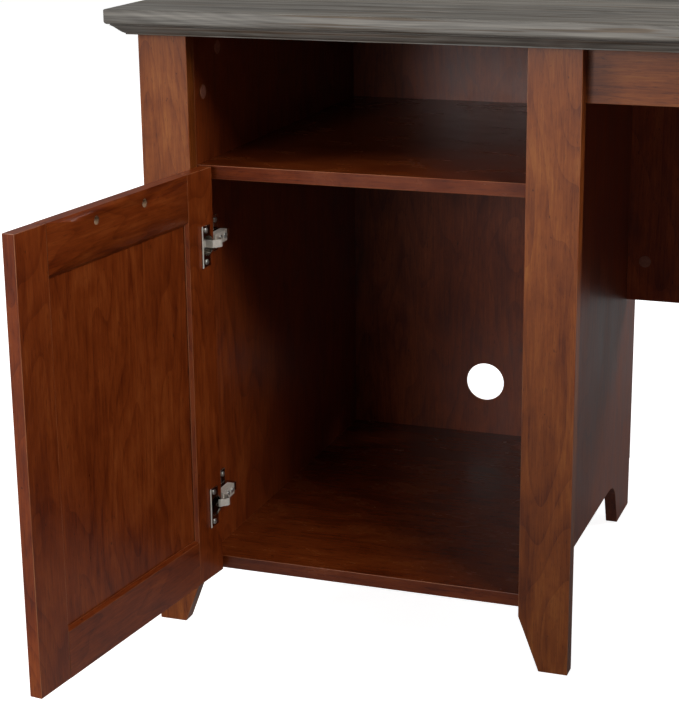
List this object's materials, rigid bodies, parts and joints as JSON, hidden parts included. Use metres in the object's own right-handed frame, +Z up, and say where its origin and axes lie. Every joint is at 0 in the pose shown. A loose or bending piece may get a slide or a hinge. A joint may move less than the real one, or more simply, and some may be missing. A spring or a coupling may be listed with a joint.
{
  "type": "corner desk",
  "caption": "L-shaped corner desk with an open cubby over a hinged-door cabinet, a kneehole and a return wing, moulded tops on tapered post feet.",
  "frame": {"origin": "centre of the footprint's bounding box, on the floor", "axes": "+Z up, -Y towards the user's side of the main wing, +X towards the return wing"},
  "size_m": [1.524, 1.524, 0.762],
  "materials": {
    "cherry_laminate": "semi-gloss cherry laminate with figured grain",
    "driftwood_laminate": "satin grey-brown driftwood laminate with long straight grain",
    "back_board": "thin printed hardboard, satin cherry face",
    "nickel": "bright nickel plate",
    "zinc_steel": "zinc plate"
  },
  "bodies": {
    "desk_frame": {"bottom_panel": "cherry_laminate", "cam_lock_bottom_panel_left": "zinc_steel", "cam_lock_bottom_panel_right": "zinc_steel", "cam_lock_corner_post": "zinc_steel", "cam_lock_corner_side_panel": "zinc_steel", "cam_lock_fixed_shelf_left": "zinc_steel", "cam_lock_fixed_shelf_right": "zinc_steel", "cam_lock_front_post_left": "zinc_steel", "cam_lock_front_post_right": "zinc_steel", "cam_lock_modesty_left_lower": "zinc_steel", "cam_lock_modesty_left_upper": "zinc_steel", "cam_lock_modesty_right_lower": "zinc_steel", "cam_lock_modesty_right_upper": "zinc_steel", "cam_lock_pedestal_side_left": "zinc_steel", "cam_lock_pedestal_side_right": "zinc_steel", "cam_lock_rail_left": "zinc_steel", "cam_lock_rail_right": "zinc_steel", "corner_post": "cherry_laminate", "corner_side_panel": "cherry_laminate", "fixed_shelf": "cherry_laminate", "front_post_left": "cherry_laminate", "front_post_right": "cherry_laminate", "hinge_arm_lower": "nickel", "hinge_arm_upper": "nickel", "hinge_plate_lower": "nickel", "hinge_plate_upper": "nickel", "joining_plate_1": "zinc_steel", "joining_plate_2": "zinc_steel", "joining_plate_3": "zinc_steel", "kneehole_rail": "cherry_laminate", "main_top": "driftwood_laminate", "modesty_panel": "cherry_laminate", "pedestal_back": "back_board", "pedestal_side_left": "cherry_laminate", "pedestal_side_right": "cherry_laminate", "return_end_panel": "cherry_laminate", "return_modesty_panel": "cherry_laminate", "return_post_left": "cherry_laminate", "return_post_right": "cherry_laminate", "return_rail": "cherry_laminate", "return_top": "driftwood_laminate", "top_bracket_kneehole_rail": "zinc_steel", "top_bracket_modesty_left": "zinc_steel", "top_bracket_modesty_right": "zinc_steel", "top_bracket_return_modesty_front": "zinc_steel", "top_bracket_return_modesty_rear": "zinc_steel", "top_bracket_return_rail": "zinc_steel"},
    "door": {"door_handle": "nickel", "door_panel": "cherry_laminate", "door_rail_bottom": "cherry_laminate", "door_rail_top": "cherry_laminate", "door_stile_free": "cherry_laminate", "door_stile_hinge": "cherry_laminate", "handle_screw_1": "zinc_steel", "handle_screw_2": "zinc_steel", "hinge_cup_lower": "nickel", "hinge_cup_upper": "nickel", "hinge_pin_lower": "zinc_steel", "hinge_pin_upper": "zinc_steel"}
  },
  "joints": [
    {"name": "door_swing", "type": "hinge", "parent": "desk_frame", "child": "door", "pos_m": [-0.6603, 0.1873, 0.3245], "axis": [0, 0, -1], "range_deg": [-96.5, 3.5]}
  ]
}
